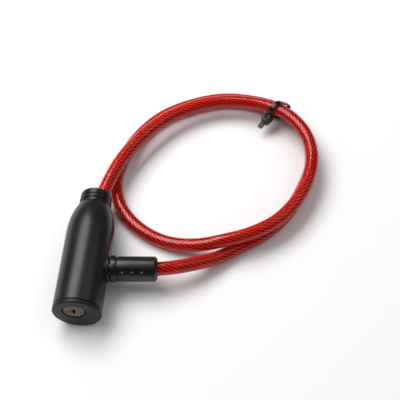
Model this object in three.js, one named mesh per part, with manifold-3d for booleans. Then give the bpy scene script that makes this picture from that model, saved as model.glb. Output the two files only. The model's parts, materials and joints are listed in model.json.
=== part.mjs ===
// Key-operated cable lock with a bottle-shaped head, a pull-out ferrule and a jacketed steel cable.
// Millimetres, +Z up. The head lies along +Y with its key end at -Y, and the ferrule leaves it
// on the +X side.
import * as THREE from "three";
import { mergeVertices } from "three/addons/utils/BufferGeometryUtils.js";
import Module from "manifold-3d";

const wasm = await Module();
wasm.setup();

// Fits
const GAP = 0.3; // between pieces that touch or are cut by one another
const FINE_GAP = 0.2; // round the small moving parts
const PAST = 1; // how far a cutter runs past the face it cuts
const ROUND = 40; // facets on the large turned pieces
const SMALL_ROUND = 24; // facets on the pins and bores

// Head
const HEAD_R = 13.85;
const HEAD_LENGTH = 79;
const CAP_RIM = 2.4; // visible thickness of the end cap
const SEAM = 0.35;
const WALL = 1.8;
const SHELL_START = CAP_RIM + SEAM;
const CAVITY_R = HEAD_R - WALL;
const CAVITY_END = 58.5; // the cavity is straight up to here, then closes to the neck
const BODY_R = CAVITY_R - GAP - 0.05;
const BODY_START = CAP_RIM + 0.4;
const BODY_END = CAVITY_END - 0.5;
const SHOULDER_END = 69.9;
const BEAD_STARTS = [70.1, 72.7]; // the two beads round the neck
const BEAD_R = 9.45;
const GROOVE_R = 8.85;
const LIP_START = 75.3;
const LIP_R = 9.28;

// Side port and ferrule, measured along the port's axis from the head's axis
const PORT_Y = 28.95;
const PORT_ANGLE = THREE.MathUtils.degToRad(4.5); // the port leans towards the neck
const BOSS_R = 7.5;
const BOSS_END = 14.4;
const PIN_R = 3.9;
const PIN_BORE_R = PIN_R + GAP + 0.1;
const PIN_NOSE = -8.6;
const PIN_GROOVE = [-1.6, 1.8];
const PIN_GROOVE_R = 2.9;
const COLLAR = [15, 18.1];
const COLLAR_R = 7.7;
const SLEEVE_R = 7.2;
const SLEEVE_START = 19;
const SLEEVE_END = 41.5;
const FLANGE = [SLEEVE_START, 20.8];
const FLANGE_R = 5.2;
const SPIGOT_END = 27.6; // the pin's tail inside the crimp
const CRIMP = [FLANGE[1] + GAP, 36.3];
const CRIMP_R = 5;

// Dimples pressed in the sleeve
const DIMPLE_R = 1.3;
const DIMPLE_DEPTH = 0.7;
const DIMPLE_START = 21.4;
const DIMPLE_PITCH = 5.55;
const DIMPLES_IN_A_ROW = 3;
const DIMPLE_ROWS = [38, 113, 218, 293]; // degrees about the port's axis

// Cable
const JACKET_R = 4;
const JACKET_BORE_R = 3;
const CORE_R = 2.6;
const CABLE_SIDES = 8;
const CABLE_STEPS = 78;
const WIRE_BORE_R = CORE_R + GAP + 0.15;
const CABLE_MOUTH_R = JACKET_R + GAP + 0.05;
const WIRE_START = 28; // where the wire starts, along the port's axis
const WIRE_END_Y = 51; // where it ends, along the head's axis

// Key plug, off the head's axis
const PLUG_X = -1.3;
const PLUG_RISE = 2.5;
const PLUG_R = 6.1;
const PLUG_BORE_R = PLUG_R + GAP;
const CAP_HOLE_R = PLUG_R + 0.6;
const PLUG_FACE = 0.25;
const PLUG_END = 19.7;
const KEYWAY = { width: 1.5, height: 4.6, end: 17.2 };
const RECESS = { left: -3.6, half: 0.9, deep: 0.4 }; // shallow mark beside the keyway
const PLUG_GROOVE = [17.7, 19.1];
const PLUG_GROOVE_R = 5;
const TAIL_SPIGOT_R = 1.5;
const TAIL_END = 20.8;
const WAFERS = 5;
const WAFER_START = 5.8;
const WAFER_PITCH = 2.4;
const WAFER_THICK = 0.6;
const WAFER_HALF = 2.65;
const WAFER_TRAVEL = 1;
const WAFER_BITTING = [0.6, -0.4, 0.2, -0.7, 0.4]; // how far each window sits off the middle
const WINDOW = { half: 1.1, halfHeight: 2.6 };
const LUG_END = 4.3;
const LUG_HALF = 0.6;
const WAFER_SPRING = { x: 3.75, r: 0.42, wire: 0.13, low: 0.8, high: 3.4, turns: 5 };
const WAFER_SPRING_BORE = 0.75;

// Cam and latch
const CAM = [PLUG_END + GAP, 21.3];
const CAM_R = 4.6;
const CRANK = 2.2; // throw of the cam's pin, and the latch's travel
const CRANK_LEAD = 0.4; // how far the turning crank runs ahead of the evenly moving latch
const CRANK_PIN_R = 0.9;
const CRANK_PIN_END = 23.3;
const LATCH = { start: 21.9, end: 23.15, left: -5.2, right: 3, low: -0.2, high: 6 };
const FINGER = { left: -1.1, right: 1.3, low: PIN_R + 0.25, high: 6, end: 31.5 }; // clear of the pin
const CHAMBER_END = 23.5;
const LATCH_SPRING = { x: -1.1, r: 0.8, wire: 0.2, low: 6.2, high: 10.4, turns: 6 };

// Fixed end of the cable and the cross pins
const ANCHOR = [WIRE_END_Y - GAP, 60];
const ANCHOR_R = 5;
const ANCHOR_GROOVE = [52.7, 54.9];
const ANCHOR_GROOVE_R = 3.9;
const ANCHOR_PIN = { x: 5.15, y: 53.8, r: 1.1, low: -5.5, high: 10.2 };
const RETAINER = { drop: 5.75, y: 18.4, r: 0.6, from: -9, to: 3.5 };
const SHELL_PIN = { y: 44, r: 1, low: -13.4, high: -7 };
const CAP_PEGS = [[6.2, -6.2], [-6.8, -6.2], [9.3, 1]];
const CAP_PEG = { r: 1.2, end: 6.2 };

// Tie round the two turns of cable, from the upper turn's centre
const TIE = { x: 103.2, y: 155.3, low: 5.4, high: 12.8, lean: 6.9, heading: 43 };
const TIE_BAND = { width: 3.2, thick: 0.9, slack: 0.9 };
const TIE_HEAD = { from: -4.7, length: 6, width: 5.2, low: 6.6, height: 4.4 };
const TIE_TAIL = { length: 4.2, width: 3, thick: 1.1, slope: -28 };

// The origin stands under the middle of the head and ferrule.
const ORIGIN = [13.97, 39.5];

// Route of the wire, from its end in the ferrule to its end in the anchor
const along = (u) => [u * Math.cos(PORT_ANGLE), PORT_Y + u * Math.sin(PORT_ANGLE), HEAD_R];
const CABLE_ROUTE = [
  along(WIRE_START), along(38.6), [49.6, 34.3, 13.3], [61.3, 39.4, 10.5], [74, 47.2, 6], [88, 57.8, 4.2],
  [101.5, 67.8, 4.15], [113.5, 82.5, 4.15], [122, 101, 4.15], [126.8, 119.5, 4.15], [124.6, 139.5, 4.15],
  [116.4, 153.2, 4.5], [104, 162, 5.5], [88, 167, 4.4], [68, 167.2, 4.15], [48.5, 160.6, 4.15],
  [31.5, 149.6, 4.15], [18.6, 133.2, 4.15], [10.4, 113, 4.15], [8.6, 95.4, 4.15], [14.2, 77.8, 4.15],
  [26.8, 64.2, 4.15], [43, 56.2, 4.6], [60, 53.6, 7.6], [76.5, 55.4, 11.9], [93, 61.7, 12.6],
  [108, 72.4, 12.6], [118.8, 87.6, 12.6], [125.2, 105, 12.6], [126.4, 123.4, 12.6], [120.4, 140.6, 12.7],
  [107, 153.4, 12.9], [90, 159.4, 11.8], [66, 159.4, 10.9], [43.4, 149.6, 11.2], [26.4, 133.6, 12.2],
  [12, 110, 12.9], [4.4, 85.6, 13.8], [0, 62, HEAD_R], [0, WIRE_END_Y, HEAD_R],
];

// A closed geometry as a manifold-3d solid, and back.
function solid(geometry) {
  const bare = geometry.clone();
  bare.deleteAttribute("normal");
  bare.deleteAttribute("uv");
  const merged = mergeVertices(bare, 1e-4);
  const mesh = new wasm.Mesh({
    numProp: 3,
    vertProperties: new Float32Array(merged.attributes.position.array),
    triVerts: new Uint32Array(merged.index.array),
  });
  return new wasm.Manifold(mesh);
}

function geometryOf(manifold) {
  const mesh = manifold.getMesh();
  const geometry = new THREE.BufferGeometry();
  geometry.setAttribute("position", new THREE.BufferAttribute(mesh.vertProperties, 3));
  geometry.setIndex(new THREE.BufferAttribute(mesh.triVerts, 1));
  return geometry;
}

// A solid turned about +Y from a list of [radius, y] points that starts and ends on the axis.
function turned(points, facets = ROUND) {
  const profile = points.map(([r, y]) => new THREE.Vector2(r, y));
  return solid(new THREE.LatheGeometry(profile, facets));
}

// A rod along +Y between two heights.
function rod(radius, from, to, facets = SMALL_ROUND) {
  return turned([[0, from], [radius, from], [radius, to], [0, to]], facets);
}

// A box between two corners.
function block(low, high) {
  const size = low.map((v, i) => high[i] - v);
  const middle = low.map((v, i) => (v + high[i]) / 2);
  return solid(new THREE.BoxGeometry(...size).translate(...middle));
}

// Solids are made along +Y and laid on the head's axis, the plug's axis, the port's axis or upright.
const onHead = (s) => s.translate([0, 0, HEAD_R]);
const onPlug = (s) => s.translate([PLUG_X, 0, HEAD_R + PLUG_RISE]);
const alongX = (s) => s.rotate([0, 0, -90]);
const upright = (s) => s.rotate([90, 0, 0]);
const onPort = (s) =>
  alongX(s)
    .rotate([0, 0, THREE.MathUtils.radToDeg(PORT_ANGLE)])
    .translate([0, PORT_Y, HEAD_R]);

// A coil spring about +Z, from one height to another.
function coil({ r, wire, low, high, turns }) {
  class Helix extends THREE.Curve {
    getPoint(t, target = new THREE.Vector3()) {
      const a = 2 * Math.PI * turns * t;
      return target.set(r * Math.cos(a), r * Math.sin(a), low + wire + (high - low - 2 * wire) * t);
    }
  }
  const sides = 4;
  const section = new THREE.Shape(
    Array.from({ length: sides }, (_, i) => {
      const a = (2 * Math.PI * i) / sides;
      return new THREE.Vector2(wire * Math.cos(a), wire * Math.sin(a));
    }),
  );
  const steps = turns * 8;
  return solid(new THREE.ExtrudeGeometry(section, { steps, bevelEnabled: false, extrudePath: new Helix() }));
}

// Points of a smooth outline from one [radius, y] to another.
function sweepOutline(from, pull, push, to, steps) {
  const curve = new THREE.CubicBezierCurve(...[from, pull, push, to].map((p) => new THREE.Vector2(...p)));
  return curve.getPoints(steps).map((p) => [p.x, p.y]);
}

// Outline of one bead round the neck, from its low edge up.
function neckBead(start) {
  return [
    [GROOVE_R, start],
    [BEAD_R, start + 0.4],
    [BEAD_R, start + 1.4],
    [GROOVE_R, start + 1.8],
  ];
}

// Black plastic housing: a bottle outline with beads and a lip round its neck, and a boss at the port.
function outerShell() {
  const bottle = turned([
    [0, SHELL_START],
    [HEAD_R - 0.3, SHELL_START],
    [HEAD_R, SHELL_START + 0.3],
    ...sweepOutline([HEAD_R, 50], [HEAD_R, 59], [12.1, 65], [9.75, SHOULDER_END], 10),
    ...BEAD_STARTS.flatMap(neckBead),
    [GROOVE_R, LIP_START],
    [LIP_R, LIP_START + 0.4],
    [LIP_R, HEAD_LENGTH - 0.6],
    [LIP_R - 0.55, HEAD_LENGTH],
    [0, HEAD_LENGTH],
  ]);
  const boss = turned([
    [0, 8],
    [9.8, 8],
    ...sweepOutline([9.8, 9.6], [8.6, 10.6], [BOSS_R, 11.2], [BOSS_R, 13], 4),
    [BOSS_R, BOSS_END - 0.4],
    [BOSS_R - 0.4, BOSS_END],
    [0, BOSS_END],
  ]);
  const cavity = turned([
    [0, SHELL_START - PAST],
    [CAVITY_R, SHELL_START - PAST],
    [CAVITY_R, CAVITY_END],
    [10.6, 62.6],
    [5.6, 66.4],
    [7.7, HEAD_LENGTH - 0.6],
    [8, HEAD_LENGTH + PAST],
    [0, HEAD_LENGTH + PAST],
  ]);
  return onHead(bottle)
    .add(onPort(boss))
    .subtract(onHead(cavity))
    .subtract(onPort(rod(PIN_BORE_R, 0, BOSS_END + PAST)))
    .subtract(shellPinHole());
}

function shellPinHole() {
  const hole = upright(rod(SHELL_PIN.r + GAP, SHELL_PIN.low - PAST, SHELL_PIN.high + GAP));
  return hole.translate([0, SHELL_PIN.y, HEAD_R]);
}

// End cap: a disc with a softened edge, three pegs behind it and the hole round the plug.
function endCap() {
  const disc = turned([
    [0, 0],
    [HEAD_R - 0.7, 0],
    [HEAD_R - 0.2, 0.2],
    [HEAD_R, 0.7],
    [HEAD_R, CAP_RIM - 0.3],
    [HEAD_R - 0.3, CAP_RIM],
    [0, CAP_RIM],
  ]);
  const pegs = CAP_PEGS.map(([x, z]) => rod(CAP_PEG.r, CAP_RIM - PAST, CAP_PEG.end).translate([x, 0, z]));
  const body = pegs.reduce((made, peg) => made.add(peg), disc);
  return onHead(body).subtract(onPlug(rod(CAP_HOLE_R, -PAST, CAP_RIM + PAST, ROUND)));
}

// Zinc casting: it holds the plug, the latch, the locking pin and the fixed end of the cable.
function lockBody() {
  let body = rod(BODY_R, BODY_START, BODY_END, ROUND);
  const cutters = [
    // chamber of the latch plate, with room for its travel
    block(
      [LATCH.left - GAP, LATCH.start - GAP - 0.1, LATCH.low - GAP],
      [LATCH.right + GAP, CHAMBER_END, LATCH.high + CRANK + GAP],
    ),
    // slot of the latch's finger, open to the pin's bore
    block(
      [FINGER.left - 0.5, LATCH.end - 0.2, FINGER.low - GAP],
      [FINGER.right + 0.5, FINGER.end + GAP, FINGER.high + CRANK + 0.4],
    ),
    upright(rod(LATCH_SPRING.r + LATCH_SPRING.wire + GAP, LATCH.high, LATCH_SPRING.high + GAP)).translate([
      LATCH_SPRING.x, (LATCH.start + LATCH.end) / 2, 0,
    ]),
    rod(ANCHOR_R + GAP + 0.05, ANCHOR[0] - GAP, BODY_END + PAST),
    upright(rod(ANCHOR_PIN.r + GAP, ANCHOR_PIN.low - GAP, BODY_R + PAST)).translate([
      ANCHOR_PIN.x, ANCHOR_PIN.y, 0,
    ]),
    alongX(rod(RETAINER.r + GAP, -BODY_R - PAST, RETAINER.to + GAP)).translate([
      PLUG_X, RETAINER.y, PLUG_RISE - RETAINER.drop,
    ]),
    ...CAP_PEGS.map(([x, z]) => {
      return rod(CAP_PEG.r + GAP, BODY_START - PAST, CAP_PEG.end + GAP).translate([x, 0, z]);
    }),
  ];
  for (const cutter of cutters) body = body.subtract(cutter);
  const wafersEnd = WAFER_START + WAFERS * WAFER_PITCH;
  const groove = block(
    [-WAFER_HALF - GAP, WAFER_START - WAFER_PITCH / 2, -PLUG_R - WAFER_TRAVEL - GAP],
    [WAFER_HALF + GAP, wafersEnd - WAFER_PITCH / 2, 0],
  );
  return onHead(body)
    .subtract(onPlug(rod(PLUG_BORE_R, BODY_START - PAST, LATCH.start, ROUND).add(groove)))
    .subtract(onPort(rod(PIN_BORE_R, PIN_NOSE - GAP - 0.7, BODY_R + PAST)))
    .subtract(shellPinHole());
}

// Brass plug: a keyway, a slot for each wafer with a pocket for its spring, and the retaining groove.
function keyPlug() {
  let plug = turned([
    [0, PLUG_FACE],
    [PLUG_R - 0.35, PLUG_FACE],
    [PLUG_R, PLUG_FACE + 0.35],
    [PLUG_R, PLUG_GROOVE[0]],
    [PLUG_GROOVE_R, PLUG_GROOVE[0]],
    [PLUG_GROOVE_R, PLUG_GROOVE[1]],
    [PLUG_R, PLUG_GROOVE[1]],
    [PLUG_R, PLUG_END],
    [TAIL_SPIGOT_R, PLUG_END],
    [TAIL_SPIGOT_R, TAIL_END],
    [0, TAIL_END],
  ]);
  const half = KEYWAY.width / 2;
  plug = plug
    .subtract(block([-half, -PAST, -KEYWAY.height / 2], [half, KEYWAY.end, KEYWAY.height / 2]))
    .subtract(block([RECESS.left, -PAST, -RECESS.half], [0, PLUG_FACE + RECESS.deep, RECESS.half]));
  for (let i = 0; i < WAFERS; i++) {
    const y = WAFER_START + i * WAFER_PITCH;
    const side = WAFER_THICK / 2 + FINE_GAP;
    const past = PLUG_R + PAST;
    plug = plug
      .subtract(block([-WAFER_HALF - FINE_GAP, y - side, -past], [WAFER_HALF + FINE_GAP, y + side, past]))
      .subtract(
        block(
          [0, y - side, -LUG_HALF - WAFER_TRAVEL - GAP],
          [LUG_END + FINE_GAP, y + side, LUG_HALF + FINE_GAP],
        ),
      )
      .subtract(
        upright(rod(WAFER_SPRING_BORE, 0, WAFER_SPRING.high + FINE_GAP, 12)).translate([
          WAFER_SPRING.x, y, 0,
        ]),
      );
  }
  return onPlug(plug);
}

// Flat tumbler number i: rounded ends, a window for the key and a lug for its spring.
function wafer(i) {
  const y = WAFER_START + i * WAFER_PITCH;
  const [front, back] = [y - WAFER_THICK / 2, y + WAFER_THICK / 2];
  const blade = block([-WAFER_HALF, front, -PLUG_R], [WAFER_HALF, back, PLUG_R]);
  const ends = rod(PLUG_R - 0.15, front - PAST, back + PAST, ROUND);
  const lug = block([WAFER_HALF - PAST, front, -LUG_HALF], [LUG_END, back, LUG_HALF]);
  const lift = WAFER_BITTING[i];
  const window = block(
    [-WINDOW.half, front - PAST, lift - WINDOW.halfHeight],
    [WINDOW.half, back + PAST, lift + WINDOW.halfHeight],
  );
  return onPlug(blade.intersect(ends).add(lug).subtract(window));
}

const waferSpring = (i) =>
  onPlug(coil(WAFER_SPRING).translate([WAFER_SPRING.x, WAFER_START + i * WAFER_PITCH, 0]));

// Cam on the plug's tail: a disc with a crank pin.
function camTail() {
  const disc = rod(CAM_R, CAM[0], CAM[1]);
  const crankPin = rod(CRANK_PIN_R, CAM[1] - PAST / 2, CRANK_PIN_END, 16).translate([-CRANK, 0, 0]);
  const socket = rod(TAIL_SPIGOT_R + GAP, CAM[0] - PAST, TAIL_END + FINE_GAP);
  return onPlug(disc.subtract(socket).add(crankPin));
}

// Latch: a plate with a cross slot for the crank pin, and a finger over the locking pin's groove.
function latchPlate() {
  const plate = block([LATCH.left, LATCH.start, LATCH.low], [LATCH.right, LATCH.end, LATCH.high]);
  const finger = block([FINGER.left, LATCH.start, FINGER.low], [FINGER.right, FINGER.end, FINGER.high]);
  const slack = 0.3;
  const slotLow = PLUG_RISE - CRANK_PIN_R - slack;
  const slotHigh = PLUG_RISE + CRANK_PIN_R + slack + CRANK_LEAD;
  const reach = CRANK_PIN_R + slack;
  const slot = block(
    [PLUG_X - CRANK - reach, LATCH.start - PAST, slotLow],
    [PLUG_X + reach, LATCH.end + PAST, slotHigh],
  );
  return onHead(plate.subtract(slot).add(finger));
}

const latchSpring = () =>
  onHead(coil(LATCH_SPRING).translate([LATCH_SPRING.x, (LATCH.start + LATCH.end) / 2, 0]));

const plugRetainingPin = () =>
  alongX(rod(RETAINER.r, RETAINER.from, RETAINER.to, 12)).translate([
    PLUG_X, RETAINER.y, HEAD_R + PLUG_RISE - RETAINER.drop,
  ]);

const anchorPin = () =>
  upright(rod(ANCHOR_PIN.r, ANCHOR_PIN.low, ANCHOR_PIN.high, 16)).translate([
    ANCHOR_PIN.x, ANCHOR_PIN.y, HEAD_R,
  ]);

const shellPin = () =>
  upright(rod(SHELL_PIN.r, SHELL_PIN.low, SHELL_PIN.high, 16)).translate([0, SHELL_PIN.y, HEAD_R]);

// Steel crimp on the fixed end of the wire, with the groove that its cross pin sits in.
function cableAnchor() {
  const crimp = turned(
    [
      [0, ANCHOR[0]],
      [ANCHOR_R, ANCHOR[0]],
      [ANCHOR_R, ANCHOR_GROOVE[0]],
      [ANCHOR_GROOVE_R, ANCHOR_GROOVE[0]],
      [ANCHOR_GROOVE_R, ANCHOR_GROOVE[1]],
      [ANCHOR_R, ANCHOR_GROOVE[1]],
      [ANCHOR_R, ANCHOR[1]],
      [0, ANCHOR[1]],
    ],
    SMALL_ROUND,
  );
  return onHead(crimp.subtract(rod(WIRE_BORE_R, ANCHOR[0] - PAST, ANCHOR[1] + PAST)));
}

// Steel locking pin: a tapered nose, the latch's groove, a flange and a tail that the crimp holds.
function lockingPin() {
  return onPort(
    turned(
      [
        [0, PIN_NOSE],
        [1.6, PIN_NOSE],
        [PIN_R, PIN_NOSE + 3],
        [PIN_R, PIN_GROOVE[0]],
        [PIN_GROOVE_R, PIN_GROOVE[0]],
        [PIN_GROOVE_R, PIN_GROOVE[1]],
        [PIN_R, PIN_GROOVE[1]],
        [PIN_R, FLANGE[0]],
        [FLANGE_R, FLANGE[0]],
        [FLANGE_R, FLANGE[1]],
        [CORE_R, FLANGE[1]],
        [CORE_R, SPIGOT_END],
        [0, SPIGOT_END],
      ],
      32,
    ),
  );
}

const ferruleCrimp = () =>
  onPort(rod(CRIMP_R, CRIMP[0], CRIMP[1]).subtract(rod(WIRE_BORE_R, CRIMP[0] - PAST, CRIMP[1] + PAST)));

// Black sleeve: a collar, a groove, a barrel with a chamfered mouth and rows of dimples.
function ferruleSleeve() {
  const barrel = turned([
    [0, COLLAR[0]],
    [COLLAR_R - 0.5, COLLAR[0]],
    [COLLAR_R, COLLAR[0] + 0.5],
    [COLLAR_R, COLLAR[1] - 0.3],
    [6.75, COLLAR[1]],
    [6.75, SLEEVE_START - 0.2],
    [SLEEVE_R, SLEEVE_START],
    [SLEEVE_R, SLEEVE_END - 1.4],
    [6.3, SLEEVE_END - 0.5],
    [5.4, SLEEVE_END],
    [0, SLEEVE_END],
  ]);
  const bore = turned([
    [0, COLLAR[0] - PAST],
    [PIN_BORE_R, COLLAR[0] - PAST],
    [PIN_BORE_R, FLANGE[0] - GAP],
    [FLANGE_R + GAP, FLANGE[0] - GAP],
    [FLANGE_R + GAP, CRIMP[1] + GAP],
    [CABLE_MOUTH_R, CRIMP[1] + GAP],
    [CABLE_MOUTH_R, SLEEVE_END + PAST],
    [0, SLEEVE_END + PAST],
  ]);
  let sleeve = barrel.subtract(bore);
  const dish = solid(new THREE.SphereGeometry(DIMPLE_R, 8, 6).scale(1, 1, DIMPLE_DEPTH / DIMPLE_R));
  for (const row of DIMPLE_ROWS)
    for (let i = 0; i < DIMPLES_IN_A_ROW; i++) {
      const placed = dish.translate([0, DIMPLE_START + i * DIMPLE_PITCH, SLEEVE_R]).rotate([0, row, 0]);
      sleeve = sleeve.subtract(placed);
    }
  return onPort(sleeve);
}

// The cable's curve, and a stretch of it between two of its even steps.
const cableCurve = new THREE.CatmullRomCurve3(
  CABLE_ROUTE.map((p) => new THREE.Vector3(...p)),
  false,
  "centripetal",
);
cableCurve.arcLengthDivisions = 2000;

class Stretch extends THREE.Curve {
  constructor(from, to) {
    super();
    this.from = from / CABLE_STEPS;
    this.to = to / CABLE_STEPS;
  }
  getPoint(t, target = new THREE.Vector3()) {
    return cableCurve.getPointAt(this.from + (this.to - this.from) * t, target);
  }
}

function cableTube(radius, from, to, boreRadius = 0) {
  const ring = (r) =>
    Array.from({ length: CABLE_SIDES }, (_, i) => {
      const a = (2 * Math.PI * i) / CABLE_SIDES;
      return new THREE.Vector2(r * Math.cos(a), r * Math.sin(a));
    });
  const section = new THREE.Shape(ring(radius));
  if (boreRadius) section.holes.push(new THREE.Path(ring(boreRadius)));
  return solid(
    new THREE.ExtrudeGeometry(section, {
      steps: to - from,
      bevelEnabled: false,
      extrudePath: new Stretch(from, to),
    }),
  );
}

// Plastic tie: a band round both turns, a square head beside the upper one and a short tail.
function bundleTie() {
  const round = (r, width) => {
    const turn = rod(r, -width / 2, width / 2, 20);
    return wasm.Manifold.hull([turn.translate([0, 0, TIE.high]), turn.translate([TIE.lean, 0, TIE.low])]);
  };
  const band = round(JACKET_R + TIE_BAND.slack + TIE_BAND.thick, TIE_BAND.width);
  const space = round(JACKET_R + TIE_BAND.slack, TIE_BAND.width + 2 * PAST);
  const head = block(
    [TIE_HEAD.from - TIE_HEAD.length, -TIE_HEAD.width / 2, TIE_HEAD.low],
    [TIE_HEAD.from, TIE_HEAD.width / 2, TIE_HEAD.low + TIE_HEAD.height],
  );
  const tail = block([-TIE_TAIL.length, -TIE_TAIL.width / 2, 0], [PAST, TIE_TAIL.width / 2, TIE_TAIL.thick])
    .rotate([0, TIE_TAIL.slope, 0])
    .translate([TIE_HEAD.from - TIE_HEAD.length, 0, TIE_HEAD.low + 1]);
  return band
    .subtract(space)
    .add(head)
    .add(tail)
    .rotate([0, 0, 90 - TIE.heading])
    .translate([TIE.x, TIE.y, 0]);
}

// Finishes
const FINISH = {
  blackPlastic: { color: 0x1c1d20, roughness: 0.55, metalness: 0 },
  brass: { color: 0x9a8468, roughness: 0.45, metalness: 0.9 },
  zinc: { color: 0x8c8f94, roughness: 0.6, metalness: 0.8 },
  steel: { color: 0xa8abb0, roughness: 0.35, metalness: 1 },
  springSteel: { color: 0x85888c, roughness: 0.3, metalness: 1 },
  redVinyl: { color: 0xc4120c, roughness: 0.2, metalness: 0 },
  wire: { color: 0x9b9da0, roughness: 0.4, metalness: 1 },
};

const group = new THREE.Group();
group.position.set(-ORIGIN[0], -ORIGIN[1], 0);

function place(name, manifold, finish) {
  const mesh = new THREE.Mesh(geometryOf(manifold), new THREE.MeshStandardMaterial(FINISH[finish]));
  mesh.name = name;
  group.add(mesh);
}

place("outer_shell", outerShell(), "blackPlastic");
place("end_cap", endCap(), "blackPlastic");
place("lock_body", lockBody(), "zinc");
place("key_plug", keyPlug(), "brass");
for (let i = 0; i < WAFERS; i++) {
  place(`wafer_${i + 1}`, wafer(i), "brass");
  place(`wafer_spring_${i + 1}`, waferSpring(i), "springSteel");
}
place("cam_tail", camTail(), "zinc");
place("latch_plate", latchPlate(), "steel");
place("latch_spring", latchSpring(), "springSteel");
place("plug_retaining_pin", plugRetainingPin(), "steel");
place("cable_anchor", cableAnchor(), "steel");
place("anchor_pin", anchorPin(), "steel");
place("shell_pin", shellPin(), "steel");
place("locking_pin", lockingPin(), "steel");
place("ferrule_crimp", ferruleCrimp(), "steel");
place("ferrule_sleeve", ferruleSleeve(), "blackPlastic");
place("cable_core", cableTube(CORE_R, 0, CABLE_STEPS), "wire");
place("cable_jacket", cableTube(JACKET_R, 1, CABLE_STEPS - 1, JACKET_BORE_R), "redVinyl");
place("bundle_tie", bundleTie(), "blackPlastic");

export default group;
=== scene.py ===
"""Looks of a key-operated cable lock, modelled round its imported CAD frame."""

import json
import math

import bpy
from bpy.props import FloatProperty, FloatVectorProperty, IntProperty, PointerProperty
from mathutils import Matrix, Vector


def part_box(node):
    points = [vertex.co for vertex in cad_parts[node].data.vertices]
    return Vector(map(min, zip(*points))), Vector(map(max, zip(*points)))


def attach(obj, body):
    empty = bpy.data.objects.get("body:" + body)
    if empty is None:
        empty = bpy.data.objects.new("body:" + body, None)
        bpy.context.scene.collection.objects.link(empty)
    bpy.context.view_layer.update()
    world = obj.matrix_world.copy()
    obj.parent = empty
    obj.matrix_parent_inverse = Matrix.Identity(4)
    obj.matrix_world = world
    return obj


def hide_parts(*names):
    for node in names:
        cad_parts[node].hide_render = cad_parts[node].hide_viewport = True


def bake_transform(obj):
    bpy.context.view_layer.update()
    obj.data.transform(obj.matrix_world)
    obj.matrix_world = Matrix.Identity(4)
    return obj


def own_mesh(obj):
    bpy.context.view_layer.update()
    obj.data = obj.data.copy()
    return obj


bl_info = {
    "name": "Cable Lock",
    "version": (1, 0, 0),
    "blender": (4, 5, 0),
    "location": "View3D > Sidebar > Cable Lock",
    "description": "Models a key-operated cable lock with its coil of jacketed cable",
    "category": "Add Mesh",
}

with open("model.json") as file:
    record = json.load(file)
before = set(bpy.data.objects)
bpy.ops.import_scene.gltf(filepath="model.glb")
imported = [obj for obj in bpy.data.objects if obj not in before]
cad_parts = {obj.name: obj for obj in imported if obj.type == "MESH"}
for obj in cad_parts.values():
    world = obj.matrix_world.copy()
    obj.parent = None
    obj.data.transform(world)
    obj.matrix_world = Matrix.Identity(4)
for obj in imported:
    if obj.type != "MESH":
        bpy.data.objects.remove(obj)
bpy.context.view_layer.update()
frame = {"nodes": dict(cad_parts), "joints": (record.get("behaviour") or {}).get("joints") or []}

MM = 0.001
TURN = 2 * math.pi
PAST = 1.0  # mm that a cutter runs past the face it cuts
CABLE_STEP = 1.4  # mm between the rings of the cable's tubes
BARE_END = 9.4  # mm of bare wire at each end of the jacket
FILLET_STEPS = 5  # straight runs in each fillet of an outline
WAFERS = 5

# Axes of the head, the plug and the port, from the CAD frame
cap_low, cap_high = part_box("end_cap")
plug_low, plug_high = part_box("key_plug")
HEAD_R = (cap_high.x - cap_low.x) / 2 / MM
HEAD_ORIGIN = Vector(((cap_low.x + cap_high.x) / 2, cap_low.y, (cap_low.z + cap_high.z) / 2))
PLUG_ORIGIN = Vector(((plug_low.x + plug_high.x) / 2, cap_low.y, (plug_low.z + plug_high.z) / 2))
PORT_FROM_FACE = 28.95  # mm from the key end to where the port's axis meets the head's
PORT_ORIGIN = HEAD_ORIGIN + Vector((0, PORT_FROM_FACE * MM, 0))
PORT_AXIS = Vector(next(j["axis"] for j in frame["joints"] if j["name"] == "ferrule_slide"))
GROUND = Vector((HEAD_ORIGIN.x, HEAD_ORIGIN.y, 0))  # on the floor under the middle of the key end


def axis_place(origin, direction):
    """The matrix that lays a shape in mm, made along its own Z, on an axis of the lock."""
    z = direction.normalized()
    x = Vector((1, 0, 0)) if abs(z.x) < 0.9 else Vector((0, -1, 0))
    y = z.cross(x).normalized()
    x = y.cross(z)
    turn = Matrix((x, y, z)).transposed().to_4x4()
    return Matrix.Translation(origin) @ turn @ Matrix.Scale(MM, 4)


ON_HEAD = axis_place(HEAD_ORIGIN, Vector((0, 1, 0)))
ON_PLUG = axis_place(PLUG_ORIGIN, Vector((0, 1, 0)))
ON_PORT = axis_place(PORT_ORIGIN, PORT_AXIS)


def along_port(u):
    """The point u mm out along the port's axis, in mm from the head's origin."""
    return tuple((PORT_ORIGIN - HEAD_ORIGIN) / MM + PORT_AXIS * u)


# What the camera looks at, and what both lights face
CAMERA_TARGET = Vector((0.04647, 0.05116, 0))
LIT_POINT = Vector((0.04, 0.04, 0))

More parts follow.
